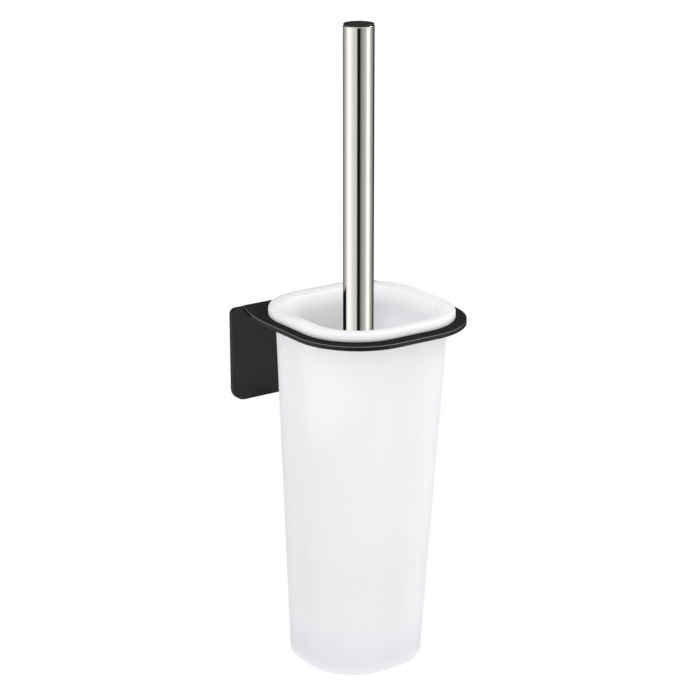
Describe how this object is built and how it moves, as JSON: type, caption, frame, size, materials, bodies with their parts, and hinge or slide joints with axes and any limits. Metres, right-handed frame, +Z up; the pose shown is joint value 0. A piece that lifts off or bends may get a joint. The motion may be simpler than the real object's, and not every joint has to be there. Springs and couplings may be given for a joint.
{
  "type": "toilet brush holder",
  "caption": "Wall-hung toilet brush holder: a black plate and ring carry a satin glass cup that holds a brush with a round steel handle.",
  "frame": {"origin": "on the wall, behind the middle of the wall plate; the concealed bracket's back face lies in the plane y = 0", "axes": "+Z up, +Y into the wall, +X to the right of a person facing the wall; the ring reaches out along -Y"},
  "size_m": [0.11, 0.1213, 0.3886],
  "materials": {
    "black_coat": "matt black powder coat",
    "zinc_steel": "zinc-plated",
    "satin_glass": "acid-etched satin, white",
    "brushed_steel": "fine brushed, nearly polished",
    "black_plastic": "moulded, semi-gloss",
    "white_plastic": "moulded",
    "soft_gasket": "translucent silicone",
    "bristle": "extruded nylon filament"
  },
  "bodies": {
    "holder": {"wall_bracket": "zinc_steel", "wall_plate": "black_coat", "holder_ring": "black_coat", "hook_left": "black_coat", "hook_right": "black_coat", "lock_lug": "black_coat", "ring_gasket": "soft_gasket"},
    "lock_screw": {"grub_screw": "zinc_steel"},
    "cup": {"glass_cup": "satin_glass"},
    "brush_head": {"brush_core": "white_plastic", "bristles": "bristle", "neck_washer": "soft_gasket"},
    "handle": {"handle_tube": "brushed_steel", "handle_cap": "black_plastic", "handle_insert": "black_plastic"}
  },
  "joints": [
    {"name": "lock_screw_out", "type": "slide", "parent": "holder", "child": "lock_screw", "axis": [0, 0, -1], "range_m": [0, 0.009]},
    {"name": "cup_lift", "type": "slide", "parent": "holder", "child": "cup", "axis": [0, 0, 1], "range_m": [0, 0.225]},
    {"name": "brush_lift", "type": "slide", "parent": "cup", "child": "brush_head", "axis": [0, 0, 1], "range_m": [0, 0.21]},
    {"name": "handle_unscrew", "type": "slide", "parent": "brush_head", "child": "handle", "axis": [0, 0, 1], "range_m": [0, 0.015]}
  ]
}
